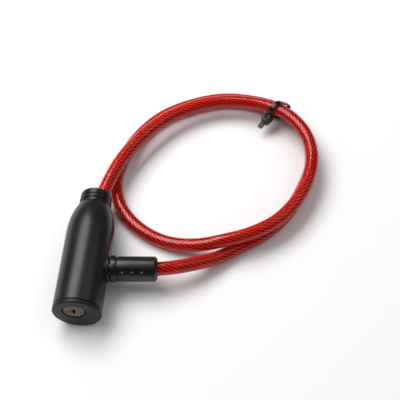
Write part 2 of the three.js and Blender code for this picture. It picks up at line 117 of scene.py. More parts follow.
# Route of the cable's centre in metres from GROUND, ferrule first
ROUTE = [
    *((p[0] * MM, p[1] * MM, HEAD_ORIGIN.z) for p in (along_port(28), along_port(38.6))),
    (0.0496, 0.0343, 0.0133),
    (0.0613, 0.0394, 0.0105),
    (0.0740, 0.0472, 0.0060),
    (0.0880, 0.0578, 0.0042),
    (0.1015, 0.0678, 0.00415),
    (0.1135, 0.0825, 0.00415),
    (0.1220, 0.1010, 0.00415),
    (0.1268, 0.1195, 0.00415),
    (0.1246, 0.1395, 0.00415),
    (0.1164, 0.1532, 0.0045),
    (0.1040, 0.1620, 0.0055),
    (0.0880, 0.1670, 0.0044),
    (0.0680, 0.1672, 0.00415),
    (0.0485, 0.1606, 0.00415),
    (0.0315, 0.1496, 0.00415),
    (0.0186, 0.1332, 0.00415),
    (0.0104, 0.1130, 0.00415),
    (0.0086, 0.0954, 0.00415),
    (0.0142, 0.0778, 0.00415),
    (0.0268, 0.0642, 0.00415),
    (0.0430, 0.0562, 0.0046),
    (0.0600, 0.0536, 0.0076),
    (0.0765, 0.0554, 0.0119),
    (0.0930, 0.0617, 0.0126),
    (0.1080, 0.0724, 0.0126),
    (0.1188, 0.0876, 0.0126),
    (0.1252, 0.1050, 0.0126),
    (0.1264, 0.1234, 0.0126),
    (0.1204, 0.1406, 0.0127),
    (0.1070, 0.1534, 0.0129),
    (0.0900, 0.1594, 0.0118),
    (0.0660, 0.1594, 0.0109),
    (0.0434, 0.1496, 0.0112),
    (0.0264, 0.1336, 0.0122),
    (0.0120, 0.1100, 0.0129),
    (0.0044, 0.0856, 0.0138),
    (0.0000, 0.0620, 0.01385),
    (0.0000, 0.0510, 0.01385),
]


# Sizes and colours ---------------------------------------------------------------------------


def millimetres(name, description, default):
    """A length that a user would change, its default in mm."""
    return FloatProperty(name=name, description=description, default=default * MM, unit="LENGTH")


def colour(name, description, default):
    """A linear colour that a user would change."""
    return FloatVectorProperty(
        name=name, description=description, default=default, subtype="COLOR", size=3, min=0, max=1
    )


class HeadSizes(bpy.types.PropertyGroup):
    """Sizes of the head."""

    length: millimetres("Length", "From the key end to the rim of the neck", 79)
    cap: millimetres("Cap", "Visible thickness of the end cap", 2.4)
    seam: millimetres("Seam", "Width of the groove between the cap and the shell", 0.35)
    wall: millimetres("Wall", "Thickness of the shell", 1.8)
    lip: millimetres("Lip radius", "Radius of the neck's lip", 9.28)
    bead: millimetres("Bead radius", "Radius of the two beads below the lip", 9.45)
    groove: millimetres("Groove radius", "Radius of the grooves round the neck", 8.75)
    boss: millimetres("Boss radius", "Radius of the boss round the port", 7.5)
    boss_end: millimetres("Boss end", "How far the boss reaches from the head's axis", 14.4)
    plug: millimetres("Plug radius", "Radius of the key plug", 6.1)
    keyway: millimetres("Keyway", "Width of the keyway", 1.5)
    blade: millimetres("Blade", "Height of the keyway", 4.6)


class FerruleSizes(bpy.types.PropertyGroup):
    """Sizes of the ferrule, measured along the port's axis."""

    collar: millimetres("Collar radius", "Radius of the collar", 7.7)
    sleeve: millimetres("Sleeve radius", "Radius of the sleeve", 7.2)
    end: millimetres("End", "Where the sleeve ends", 41.5)
    dimple: millimetres("Dimple radius", "Radius of the dimples in the sleeve", 1.6)
    depth: millimetres("Dimple depth", "Depth of the dimples", 0.85)
    pin: millimetres("Pin radius", "Radius of the locking pin", 3.9)


class CableSizes(bpy.types.PropertyGroup):
    """Sizes of the cable."""

    jacket: millimetres("Jacket diameter", "Outside diameter of the jacket", 8)
    strand: millimetres("Strand diameter", "Diameter of one outer strand", 1.52)
    pitch: millimetres("Pitch radius", "Radius at which the outer strands lie", 2.1)
    lay: millimetres("Lay", "Length in which a strand goes once round", 28)
    strands: IntProperty(name="Strands", description="Outer strands", default=8, min=3)


class Colours(bpy.types.PropertyGroup):
    """Colours of the lock."""

    shell: colour("Shell", "Matte plastic of the head", (0.011, 0.0113, 0.0135))
    sleeve: colour("Sleeve", "Plastic of the ferrule", (0.0075, 0.0075, 0.0088))
    vinyl: colour("Vinyl", "Clear jacket of the cable", (0.90, 0.028, 0.014))
    brass: colour("Brass", "Key plug", (0.155, 0.115, 0.077))
    tie: colour("Tie", "Tie round the coil", (0.006, 0.006, 0.0066))
    floor: colour("Floor", "Plain floor", (0.86, 0.86, 0.87))


class ViewSettings(bpy.types.PropertyGroup):
    """Where the camera stands."""

    azimuth: FloatProperty(
        name="Azimuth", description="Heading from +Y", default=math.radians(-4.88), subtype="ANGLE"
    )
    down: FloatProperty(
        name="Down", description="Angle below the horizon", default=math.radians(55.97), subtype="ANGLE"
    )
    distance: FloatProperty(
        name="Distance", description="From the camera to its target", default=0.6092, unit="LENGTH"
    )
    lens: FloatProperty(name="Lens", description="Focal length in millimetres", default=90)


# Meshes --------------------------------------------------------------------------------------


def deselect():
    """Leaves edit mode and lets go of everything."""
    if bpy.context.object and bpy.context.object.mode != "OBJECT":
        bpy.ops.object.mode_set(mode="OBJECT")
    bpy.ops.object.select_all(action="DESELECT")


def pick(piece):
    """Selects the piece alone and makes it the active one."""
    deselect()
    piece.select_set(True)
    bpy.context.view_layer.objects.active = piece


def named(name):
    """The piece that was just added, with its name."""
    piece = bpy.context.object
    piece.name = piece.data.name = name
    return piece


def lay_in(piece, place):
    """Moves a shape made round the origin in mm into its place, and leaves the object unturned."""
    pick(piece)
    piece.matrix_world = place
    bpy.ops.object.transform_apply(location=True, rotation=True, scale=True)
    return piece


def rounded(corners):
    """Outline through (radius, height, fillet) corners, each turned with its own fillet."""
    points = [Vector(c[:2]) for c in corners]
    outline = []
    for i, (x, y, *rest) in enumerate(corners):
        fillet = rest[0] if rest else 0
        here = points[i]
        if not fillet or i in (0, len(corners) - 1):
            outline.append((x, y))
            continue
        back, on = (points[i - 1] - here), (points[i + 1] - here)
        half = back.angle(on) / 2
        run = min(fillet / math.tan(half), back.length * 0.49, on.length * 0.49)
        start, end = here + back.normalized() * run, here + on.normalized() * run
        for k in range(FILLET_STEPS + 1):
            t = k / FILLET_STEPS
            p = start * (1 - t) ** 2 + here * (2 * t * (1 - t)) + end * t**2
            outline.append((p.x, p.y))
    return outline


def bezier(a, b, c, d, steps):
    """Points of a smooth run of an outline from a to d, pulled by b and c."""
    a, b, c, d = map(Vector, (a, b, c, d))
    points = []
    for k in range(steps + 1):
        t = k / steps
        p = a * (1 - t) ** 3 + b * (3 * t * (1 - t) ** 2) + c * (3 * t * t * (1 - t)) + d * t**3
        points.append((p.x, p.y))
    return points


def turned(name, outline, place, steps=96):
    """Extrudes a vertex along an outline of (radius, height) in mm and spins it round its axis."""
    deselect()
    bpy.ops.mesh.primitive_plane_add(size=1)
    piece = named(name)
    bpy.ops.object.mode_set(mode="EDIT")
    bpy.ops.mesh.select_all(action="SELECT")
    bpy.ops.mesh.merge(type="CENTER")
    x, z = outline[0]
    bpy.ops.transform.translate(value=(x, 0, z))
    for nx, nz in outline[1:]:
        bpy.ops.mesh.extrude_region_move(TRANSFORM_OT_translate={"value": (nx - x, 0, nz - z)})
        x, z = nx, nz
    bpy.ops.mesh.select_all(action="SELECT")
    bpy.ops.mesh.spin(steps=steps, angle=TURN, center=(0, 0, 0), axis=(0, 0, 1))
    bpy.ops.mesh.select_all(action="SELECT")
    bpy.ops.mesh.remove_doubles(threshold=1e-4)
    bpy.ops.mesh.normals_make_consistent(inside=False)
    bpy.ops.object.mode_set(mode="OBJECT")
    return lay_in(piece, place)


def block(name, low, high, place, bevel=0.0):
    """A box between two corners in mm, its edges bevelled."""
    deselect()
    bpy.ops.mesh.primitive_cube_add(size=1)
    piece = named(name)
    size = [b - a for a, b in zip(low, high)]
    bpy.ops.object.mode_set(mode="EDIT")
    bpy.ops.mesh.select_all(action="SELECT")
    bpy.ops.transform.resize(value=size)
    bpy.ops.transform.translate(value=[(a + b) / 2 for a, b in zip(low, high)])
    if bevel:
        bpy.ops.mesh.bevel(offset=bevel, segments=3, affect="EDGES")
    bpy.ops.object.mode_set(mode="OBJECT")
    return lay_in(piece, place)


def combine(piece, operation, *others):
    """Cuts from the piece, or adds to it, and removes what did it."""
    for other in others:
        pick(piece)
        bpy.ops.object.modifier_add(type="BOOLEAN")
        modifier = piece.modifiers[-1]
        modifier.operation = operation
        modifier.solver = "EXACT"
        modifier.object = other
        bpy.ops.object.modifier_apply(modifier=modifier.name)
        bpy.data.objects.remove(other)


def soften(piece, width, angle):
    """Bevels the piece's sharp edges, width in mm, and shades it smooth between its corners."""
    pick(piece)
    if width:
        bpy.ops.object.modifier_add(type="BEVEL")
        modifier = piece.modifiers[-1]
        modifier.width = width * MM
        modifier.segments = 2
        modifier.limit_method = "ANGLE"
        modifier.angle_limit = math.radians(angle)
        modifier.use_clamp_overlap = True
        bpy.ops.object.modifier_apply(modifier=modifier.name)
    bpy.ops.object.shade_smooth_by_angle(angle=math.radians(angle))


def cable_line(ps, steps=10):
    """Points close together on the smooth curve through the route."""
    ps = [2 * ps[0] - ps[1], *ps, 2 * ps[-1] - ps[-2]]
    line = []
    for p0, p1, p2, p3 in zip(ps, ps[1:], ps[2:], ps[3:]):
        d0, d1, d2 = ((b - a).length ** 0.5 for a, b in ((p0, p1), (p1, p2), (p2, p3)))
        t1 = ((p1 - p0) / d0 - (p2 - p0) / (d0 + d1) + (p2 - p1) / d1) * d1
        t2 = ((p2 - p1) / d1 - (p3 - p1) / (d1 + d2) + (p3 - p2) / d2) * d1
        for k in range(steps):
            t = k / steps
            bend = (3 * (p2 - p1) - 2 * t1 - t2) * t**2 + (2 * (p1 - p2) + t1 + t2) * t**3
            line.append(p1 + t1 * t + bend)
    return [*line, ps[-2]]


def evenly(line, step):
    """The same line with its points an even step apart."""
    ends = [0.0]
    for a, b in zip(line, line[1:]):
        ends.append(ends[-1] + (b - a).length)
    count = max(2, round(ends[-1] / step))
    points, i = [], 0
    for k in range(count + 1):
        s = ends[-1] * k / count
        while i < len(line) - 2 and ends[i + 1] < s:
            i += 1
        points.append(line[i].lerp(line[i + 1], (s - ends[i]) / (ends[i + 1] - ends[i])))
    return points


def carried(line):
    """A frame at each point, carried along the line without twist: (point, across, other)."""
    ahead = [(b - a).normalized() for a, b in zip(line, line[1:])]
    ahead = [ahead[0], *((a + b).normalized() for a, b in zip(ahead, ahead[1:])), ahead[-1]]
    across = Vector((0, 0, 1))
    frames = []
    for point, t in zip(line, ahead):
        across = (across - t * across.dot(t)).normalized()
        frames.append((point, across, t.cross(across)))
    return frames


def faced(line):
    """A frame at each (point, outward) pair, its across direction turned outward."""
    points = [p for p, _ in line]
    ahead = [(b - a).normalized() for a, b in zip(points, points[1:])]
    ahead.append(ahead[-1])
    frames = []
    for (point, outward), t in zip(line, ahead):
        across = (outward - t * outward.dot(t)).normalized()
        frames.append((point, across, t.cross(across)))
    return frames


def length_of(line):
    """Length of the line through these points."""
    return sum((b - a).length for a, b in zip(line, line[1:]))


def tube(name, runs, sides):
    """A mesh of closed tubes. Each run is (frames, radius), and its faces carry UVs in metres along it."""
    verts, faces, uvs = [], [], []
    for frames, radius in runs:
        base = len(verts)
        along = 0.0
        marks = []
        for i, (point, across, other) in enumerate(frames):
            if i:
                along += (point - frames[i - 1][0]).length
            marks.append(along)
            for k in range(sides):
                a = TURN * k / sides
                verts.append(point + (across * math.cos(a) + other * math.sin(a)) * radius)
        for i in range(len(frames) - 1):
            for k in range(sides):
                ring, n = base + i * sides, (k + 1) % sides
                faces.append((ring + k, ring + n, ring + sides + n, ring + sides + k))
                u0, u1 = k / sides, (k + 1) / sides
                uvs += [(u0, marks[i]), (u1, marks[i]), (u1, marks[i + 1]), (u0, marks[i + 1])]
        last = base + (len(frames) - 1) * sides
        faces.append(tuple(base + k for k in reversed(range(sides))))
        faces.append(tuple(last + k for k in range(sides)))
        uvs += [(0.5, 0.0)] * sides + [(0.5, marks[-1])] * sides
    mesh = bpy.data.meshes.new(name)
    mesh.from_pydata(verts, [], faces)
    layer = mesh.uv_layers.new(name="Along")
    for loop, uv in zip(layer.data, uvs):
        loop.uv = uv
    piece = bpy.data.objects.new(name, mesh)
    bpy.context.scene.collection.objects.link(piece)
    return piece


# Materials -----------------------------------------------------------------------------------


class Value:
    """A socket that Python arithmetic works on. Each operation adds a Math node."""

    def __init__(self, surface, socket):
        self.surface = surface
        self.socket = socket

    def math(self, operation, *others):
        inputs = dict(enumerate((self, *others)))
        return self.surface.node("ShaderNodeMath", {"operation": operation}, inputs)

    def __add__(self, other):
        return self.math("ADD", other)

    def __sub__(self, other):
        return self.math("SUBTRACT", other)

    def __rsub__(self, other):
        return self.surface.node("ShaderNodeMath", {"operation": "SUBTRACT"}, {0: other, 1: self})

    def __mul__(self, other):
        return self.math("MULTIPLY", other)

    __radd__ = __add__
    __rmul__ = __mul__

    def clamped(self):
        return self.surface.node("ShaderNodeClamp", {}, {"Value": self})


class Surface:
    """A material with one Principled shader, and the nodes that feed it."""

    def __init__(self, name, **constants):
        self.material = bpy.data.materials.new(name)
        self.material.use_nodes = True
        self.tree = self.material.node_tree
        self.shader = self.tree.nodes["Principled BSDF"]
        for key, value in constants.items():
            self.shader.inputs[key.replace("_", " ")].default_value = value

    def node(self, kind, settings=None, inputs=None, output=0):
        made = self.tree.nodes.new(kind)
        for key, value in (settings or {}).items():
            if key == "stops":
                self.set_stops(made.color_ramp, value)
            else:
                setattr(made, key, value)
        for key, value in (inputs or {}).items():
            self.join(made.inputs[key], value)
        return Value(self, made.outputs[output])

    def set_stops(self, ramp, stops):
        """Each stop is a position and a grey or a colour."""
        while len(ramp.elements) < len(stops):
            ramp.elements.new(1.0)
        for element, (position, tone) in zip(ramp.elements, stops):
            element.position = position
            element.color = (tone, tone, tone, 1) if isinstance(tone, float) else (*tone, 1)

    def join(self, socket, value):
        """Links a value to the socket, or sets a number or a colour on it."""
        if isinstance(value, Value):
            self.tree.links.new(value.socket, socket)
        elif isinstance(value, (int, float)) or socket.type != "RGBA":
            socket.default_value = value
        else:
            socket.default_value = (*value, 1)

    def feed(self, **inputs):
        """Joins what changes over the surface to the shader."""
        for key, value in inputs.items():
            self.join(self.shader.inputs[key.replace("_", " ")], value)

    def place(self):
        """Object coordinates, the same on every piece."""
        return self.node("ShaderNodeTexCoord", output="Object")

    def stretched(self, scale, origin=(0, 0, 0)):
        """Object coordinates measured from a point and scaled by axis."""
        shift = [-o * s for o, s in zip(origin, scale)]
        inputs = {"Vector": self.place(), "Location": shift, "Scale": scale}
        return self.node("ShaderNodeMapping", {}, inputs)

    def noise(self, scale, detail=2.0, vector=None, roughness=0.5):
        where = vector or self.place()
        inputs = {"Vector": where, "Scale": scale, "Detail": detail, "Roughness": roughness}
        return self.node("ShaderNodeTexNoise", {}, inputs)

    def ramp(self, value, *stops):
        return self.node("ShaderNodeValToRGB", {"stops": stops}, {"Fac": value})

    def mix(self, share, a, b):
        """A colour between a and b. The Mix node's colour sockets share their names with others."""
        return self.node("ShaderNodeMix", {"data_type": "RGBA"}, {0: share, 6: a, 7: b}, 2)

    def bump(self, height, depth, strength):
        inputs = {"Height": height, "Distance": depth, "Strength": strength}
        return self.node("ShaderNodeBump", {}, inputs)


def tint(rgb, factor):
    """The colour made darker or lighter."""
    return tuple(min(1.0, c * factor) for c in rgb)


def moulded_plastic(name, rgb, roughness, grain=0.018, shine=0.34):
    """Plastic from a spark-eroded mould, its grain in mm, with flow marks, dust and hairline scuffs."""
    s = Surface(name, Specular_IOR_Level=shine)
    fine = s.noise(5200, 3, roughness=0.6)
    coarse = s.noise(1500, 2)
    flow = s.noise(1, 3, s.stretched((70, 22, 70)))
    dust = s.ramp(s.noise(2600, 2), (0.66, 0.0), (0.74, 1.0))
    scuffs = s.ramp(s.noise(1, 2, s.stretched((900, 60, 500))), (0.62, 0.0), (0.72, 1.0))
    base = s.mix(flow, tint(rgb, 0.82), tint(rgb, 1.25))
    base = s.mix(dust * 0.25, base, tint(rgb, 4.0))
    base = s.mix(scuffs * 0.12, base, tint(rgb, 3.0))
    s.feed(Base_Color=base, Roughness=(roughness + flow * 0.1 + fine * 0.08 - 0.09 - scuffs * 0.06))
    s.feed(Normal=s.bump(fine * 0.6 + coarse * 0.4, grain * MM, 0.8))
    return s.material


def metal(name, rgb, roughness, scale, depth, dull):
    """Bare metal with tool marks of a depth in mm, tarnish in blotches and dark pits."""
    s = Surface(name, Metallic=1.0)
    marks = s.noise(1, 4, s.stretched(scale), 0.6)
    blotch = s.noise(260, 3)
    pits = s.ramp(s.noise(2400, 2), (0.30, 0.0), (0.42, 1.0))
    base = s.mix(blotch, tint(rgb, 1 - dull), tint(rgb, 1.15))
    base = s.mix((1 - pits) * 0.5, base, tint(rgb, 0.45))
    s.feed(Base_Color=base, Roughness=(roughness + blotch * 0.2 - 0.1 + marks * 0.08).clamped())
    s.feed(Normal=s.bump(marks + pits * 0.4, depth * MM, 0.7))
    return s.material


def plug_face_brass(name, rgb):
    """Dull brass, faced on a lathe: rings about the plug's axis, tarnish and scratches from keys."""
    s = Surface(name, Metallic=0.85)
    centred = s.stretched((1, 0.02, 1), tuple(PLUG_ORIGIN))
    rings = s.node(
        "ShaderNodeTexWave",
        {"wave_type": "RINGS", "rings_direction": "Y", "wave_profile": "SIN"},
        {"Vector": centred, "Scale": 520, "Distortion": 0.6, "Detail": 1.0},
    )
    tarnish = s.noise(420, 4, roughness=0.6)
    scratches = s.ramp(s.noise(1, 2, s.stretched((2600, 200, 260))), (0.6, 0.0), (0.68, 1.0))
    base = s.mix(tarnish, tint(rgb, 0.6), tint(rgb, 1.35))
    base = s.mix(scratches * 0.4, base, tint(rgb, 2.0))
    s.feed(Base_Color=base, Roughness=(0.42 + tarnish * 0.2 - scratches * 0.1 + rings * 0.05))
    s.feed(Normal=s.bump(rings * 0.5 + scratches * -0.5 + tarnish * 0.3, 0.02 * MM, 0.6))
    return s.material


def clear_vinyl(name, rgb):
    """Clear vinyl with extrusion lines, slight ripples from the strands below, haze and dust."""
    s = Surface(name, Transmission_Weight=0.87, IOR=1.38)
    along = s.node("ShaderNodeUVMap", {"uv_map": "Along"})
    drawn = s.node("ShaderNodeMapping", {}, {"Vector": along, "Scale": (26, 60, 1)})
    lines = s.noise(1, 2, drawn)
    ripple = s.noise(180, 2)
    haze = s.noise(90, 3)
    specks = s.ramp(s.noise(1500, 2), (0.68, 0.0), (0.74, 1.0))
    base = s.mix(haze, tint(rgb, 0.94), tint(rgb, 1.06))
    base = s.mix(specks * 0.15, base, (0.9, 0.45, 0.4))
    s.feed(Base_Color=base, Roughness=(0.1 + haze * 0.1 + specks * 0.1))
    s.feed(Normal=s.bump(lines * 0.4 + ripple, 0.08 * MM, 0.3))
    return s.material


def strand_wire(name):
    """Galvanised strand of fine wires, with painted shade where it beds on the next strand and painted light
    along its crown.
    """
    s = Surface(name, Metallic=0.9)
    along = s.node("ShaderNodeUVMap", {"uv_map": "Along"})
    around = s.node("ShaderNodeSeparateXYZ", {}, {0: along}, "X")
    length = Value(s, around.socket.node.outputs["Y"])
    crown = (around * TURN).math("COSINE") * 0.5 + 0.5
    wires_round, wires_per_metre = 7, 260
    wires = ((around * wires_round - length * wires_per_metre) * TURN).math("SINE") * 0.5 + 0.5
    spots = s.noise(700, 3)
    # painted shade on the side of each strand that beds on the next, and painted light along its crown
    painted_shading = s.ramp(crown, (0.46, 0.06), (0.72, 0.44), (0.92, 1.0))
    base = s.mix(painted_shading, (0.06, 0.055, 0.05), (0.95, 0.95, 0.95))
    # painted shade in the grooves between the fine wires
    base = s.mix((1 - wires) * 0.35, base, (0.12, 0.115, 0.11))
    base = s.mix(spots * 0.2, base, (0.4, 0.39, 0.38))
    s.feed(Base_Color=base, Roughness=(0.3 + spots * 0.15))
    s.feed(Normal=s.bump(wires, 0.08 * MM, 0.9))
    return s.material


def floor_paper(name, rgb):
    """Plain pale paper with the slightest tooth."""
    s = Surface(name, Roughness=0.9, Specular_IOR_Level=0.1)
    s.feed(Base_Color=s.mix(s.noise(30, 2), tint(rgb, 0.995), tint(rgb, 1.005)))
    s.feed(Normal=s.bump(s.noise(2500, 2), 0.01 * MM, 0.3))
    return s.material


def dress(piece, material):
    """Gives the piece one material in place of any that it has."""
    piece.data.materials.clear()
    piece.data.materials.append(material)


def fit(piece, body, *nodes):
    """The piece moves with the body and stands for these CAD nodes."""
    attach(piece, body)
    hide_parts(*nodes)


# Pieces --------------------------------------------------------------------------------------


class CABLELOCK_OT_stage(bpy.types.Operator):
    """Makes the floor, the lights and the camera"""

    bl_idname = "cable_lock.stage"
    bl_label = "Stage"

    def camera(self, scene):
        """A camera that looks down on the lock from its key end."""
        view = scene.lock_view
        az, down = view.azimuth, view.down
        ahead = Vector((math.sin(az) * math.cos(down), math.cos(az) * math.cos(down), -math.sin(down)))
        right = Vector((math.cos(az), -math.sin(az), 0))
        data = bpy.data.cameras.new("camera")
        data.lens, data.sensor_width = view.lens, 36
        data.clip_start, data.clip_end = 0.01, 20
        camera = bpy.data.objects.new("camera", data)
        scene.collection.objects.link(camera)
        turn = Matrix((right, right.cross(ahead), -ahead)).transposed().to_4x4()
        camera.matrix_world = Matrix.Translation(CAMERA_TARGET - ahead * view.distance) @ turn
        scene.camera = camera

    def lamp(self, name, spot, size, power):
        """A soft box at a spot, facing the lock."""
        data = bpy.data.lights.new(name, "AREA")
        data.shape = "RECTANGLE"
        data.size, data.size_y = size
        data.energy = power
        lamp = bpy.data.objects.new(name, data)
        bpy.context.scene.collection.objects.link(lamp)
        lamp.location = spot
        lamp.rotation_euler = (LIT_POINT - Vector(spot)).to_track_quat("-Z", "Y").to_euler()

    def execute(self, context):
        scene = context.scene
        deselect()
        bpy.ops.mesh.primitive_plane_add(size=6, location=(0, 0, -0.0001))
        floor = named("floor")
        bpy.ops.object.transform_apply(location=True)
        dress(floor, floor_paper("floor_paper", scene.lock_colours.floor))
        self.camera(scene)
        self.lamp("key_light", (-0.52, 0.40, 1.06), (1.2, 0.7), 17.5)
        self.lamp("side_light", (0.70, 0.25, 0.95), (0.7, 0.7), 1.5)

        world = bpy.data.worlds.new("studio")
        world.use_nodes = True
        background = world.node_tree.nodes["Background"]
        background.inputs["Color"].default_value = (1, 1, 1, 1)
        background.inputs["Strength"].default_value = 0.33
        world.cycles_visibility.glossy = False
        scene.world = world
        scene.view_settings.view_transform = "Standard"
        return {"FINISHED"}


class CABLELOCK_OT_tie(bpy.types.Operator):
    """Makes the plastic tie round the two turns of cable"""

    bl_idname = "cable_lock.tie"
    bl_label = "Tie"

    def band(self):
        """An open cylinder round the upper turn, its lower half drawn down round the other."""
        radius, thick, width = 4.7, 0.9, 2.8
        upper, lower, lean = 12.8, 5.4, 6.9
        deselect()
        bpy.ops.mesh.primitive_cylinder_add(
            vertices=64, radius=radius, depth=width, end_fill_type="NOTHING", rotation=(math.pi / 2, 0, 0)
        )
        band = named("tie")
        bpy.ops.object.transform_apply(rotation=True)
        down = Vector((lean, 0, lower - upper))
        bpy.ops.object.mode_set(mode="EDIT")
        bpy.ops.mesh.select_all(action="DESELECT")
        bpy.ops.object.mode_set(mode="OBJECT")
        for v in band.data.vertices:
            v.select = v.co.dot(down) > 1e-4
        bpy.ops.object.mode_set(mode="EDIT")
        bpy.ops.transform.translate(value=down)
        bpy.ops.mesh.select_all(action="SELECT")
        bpy.ops.transform.translate(value=(0, 0, upper))
        bpy.ops.object.mode_set(mode="OBJECT")
        bpy.ops.object.modifier_add(type="SOLIDIFY")
        wall = band.modifiers[-1]
        wall.thickness, wall.offset = thick, 1
        bpy.ops.object.modifier_apply(modifier=wall.name)
        return band

    def head(self):
        """The block that grips the strap, with the gate that the strap goes through."""
        still = Matrix.Identity(4)
        half = 2.6
        head = block("tie_head", (-10.6, -half, 6.7), (-4.8, half, 11.0), still, 0.45)
        gate = block("gate", (-9.8, -half - PAST, 7.5), (-9.0, 1.7, 10.2), still)
        combine(head, "DIFFERENCE", gate)
        return head

    def tail(self):
        """The strap's short cut end, sloping down from the head, with teeth across it."""
        slope = Matrix.Translation((-10.5, 0, 7.6)) @ Matrix.Rotation(math.radians(-28), 4, "Y")
        tail = block("tie_tail", (-4.2, -1.5, 0), (PAST, 1.5, 1.1), slope, 0.25)
        starts = [-3.9 + 0.8 * i for i in range(4)]
        teeth = [block("tooth", (x, -1.0, 0.85), (x + 0.4, 1.0, 2.0), slope) for x in starts]
        combine(tail, "DIFFERENCE", *teeth)
        return tail

    def execute(self, context):
        band = self.band()
        combine(band, "UNION", self.head())
        combine(band, "UNION", self.tail())
        middle = Matrix.Translation(GROUND + Vector((103.2, 155.3, 0)) * MM)
        lay_in(band, middle @ Matrix.Rotation(math.radians(47), 4, "Z") @ Matrix.Scale(MM, 4))
        soften(band, width=0.12, angle=35)
        nylon = moulded_plastic("tie_nylon", context.scene.lock_colours.tie, 0.3, grain=0.006)
        dress(band, nylon)
        fit(band, "head", "bundle_tie")
        return {"FINISHED"}


class CABLELOCK_OT_cable(bpy.types.Operator):
    """Makes the stranded wire and its clear jacket along the route, after the tie that holds it"""

    bl_idname = "cable_lock.cable"
    bl_label = "Cable"

    def strands(self, frames, sizes):
        """The outer strands, each spun round the cable's frames."""
        runs = []
        for n in range(sizes.strands):
            spun, s = [], 0.0
            for i, (point, across, other) in enumerate(frames):
                if i:
                    s += (point - frames[i - 1][0]).length
                a = TURN * (s / sizes.lay + n / sizes.strands)
                outward = across * math.cos(a) + other * math.sin(a)
                spun.append((point + outward * sizes.pitch, outward))
            runs.append((faced(spun), sizes.strand / 2))
        return runs

    def execute(self, context):
        sizes = context.scene.lock_cable
        line = evenly(cable_line([GROUND + Vector(p) for p in ROUTE]), CABLE_STEP * MM)
        frames = carried(line)
        inset = round(BARE_END / CABLE_STEP)
        covered = frames[inset:-inset]
        covered_line = [point for point, _, _ in covered]

        bite = 0.1 * MM  # how far the middle wire reaches into the strands round it
        heart = (frames, sizes.pitch - sizes.strand / 2 + bite)
        core = tube("wire_core", [heart, *self.strands(frames, sizes)], sides=10)
        jacket = tube("jacket", [(covered, sizes.jacket / 2)], sides=40)
        for piece in (core, jacket):
            pick(piece)
            bpy.ops.object.shade_smooth_by_angle(angle=math.radians(40))
            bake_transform(piece)
        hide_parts("cable_core")
        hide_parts("cable_jacket")
        dress(core, strand_wire("strand_wire"))
        dress(jacket, clear_vinyl("clear_vinyl", context.scene.lock_colours.vinyl))

        cords = (
            (core, line, 2 * sizes.pitch + sizes.strand, ()),
            (jacket, covered_line, sizes.jacket, (bpy.data.objects["tie"],)),
        )
        for piece, wire, width, held in cords:
            length_of(wire)
        return {"FINISHED"}


class CABLELOCK_OT_shell(bpy.types.Operator):
    """Makes the bottle-shaped shell with its boss"""

    bl_idname = "cable_lock.shell"
    bl_label = "Shell"

    def bead(self, low, bead, groove):
        """Corners of a bead round the neck, from the groove below it to the groove above it."""
        return [
            (groove, low, 0.2),
            (bead, low + 0.35, 0.45),
            (bead, low + 1.45, 0.45),
            (groove, low + 1.8, 0.2),
        ]

    def bottle(self, sizes, start, bore):
        """Outline up the outside from the cap to the neck's lip, and down the inside."""
        end, lip, bead, groove = (v / MM for v in (sizes.length, sizes.lip, sizes.bead, sizes.groove))
        foot = (HEAD_R - 1.2, start)
        neck = (9.75, 69.85)
        edge = bezier(
            (HEAD_R - 0.35, start), (HEAD_R - 0.1, start), (HEAD_R, start + 0.1), (HEAD_R, start + 0.35), 4
        )
        shoulder = bezier((HEAD_R, 50), (HEAD_R, 59), (12.1, 65), neck, 22)
        rim_and_bore = [
            neck,
            *self.bead(70.15, bead, groove),
            *self.bead(72.75, bead, groove),
            (groove, 75.3, 0.2),
            (lip, 75.65, 0.35),
            (lip, 78.2, 0.5),
            (8.75, end, 0.35),
            (8.0, end, 0.3),
            (7.6, end - 0.9, 0.5),
            (5.6, 66.4, 1.2),
            (10.6, 62.6, 1.0),
            (bore, 58.5, 1.0),
            (bore, start, 0.05),
            foot,
        ]
        return [foot, *edge, *shoulder, *rounded(rim_and_bore)[1:]]

    def boss(self, end):
        """Outline of the boss, which flares into the shell at its foot."""
        flare = bezier((10.2, 9.2), (8.8, 10.6), (7.5, 11.4), (7.5, 13.2), 10)
        face = rounded([(7.5, 13.3), (7.5, end, 0.5), (4.0, end)])[1:]
        return [(0, 8), (10.4, 8), *flare, *face, (0, end)]

    def port(self, end):
        """Outline of the cutter for the port, with a chamfer at its mouth."""
        mouth, chamfer = 4.3, 0.5
        return [
            (0, 2),
            (mouth, 2),
            (mouth, end - chamfer),
            (mouth + chamfer, end),
            (mouth + chamfer + PAST, end + PAST),
            (0, end + PAST),
        ]

    def execute(self, context):
        sizes = context.scene.lock_head
        start = (sizes.cap + sizes.seam) / MM
        bore = HEAD_R - sizes.wall / MM
        boss_end = sizes.boss_end / MM
        room_end = 52
        room = [(0, -PAST), (bore, -PAST), (bore, room_end), (0, room_end)]
        shell = turned("shell", self.bottle(sizes, start, bore), ON_HEAD, steps=128)
        combine(shell, "UNION", turned("boss", self.boss(boss_end), ON_PORT))
        combine(shell, "DIFFERENCE", turned("room", room, ON_HEAD, steps=128))
        combine(shell, "DIFFERENCE", turned("hole", self.port(boss_end), ON_PORT, steps=64))
        soften(shell, width=0, angle=32)
        plastic = moulded_plastic("shell_plastic", context.scene.lock_colours.shell, 0.32)
        dress(shell, plastic)
        fit(shell, "head", "outer_shell")
        return {"FINISHED"}


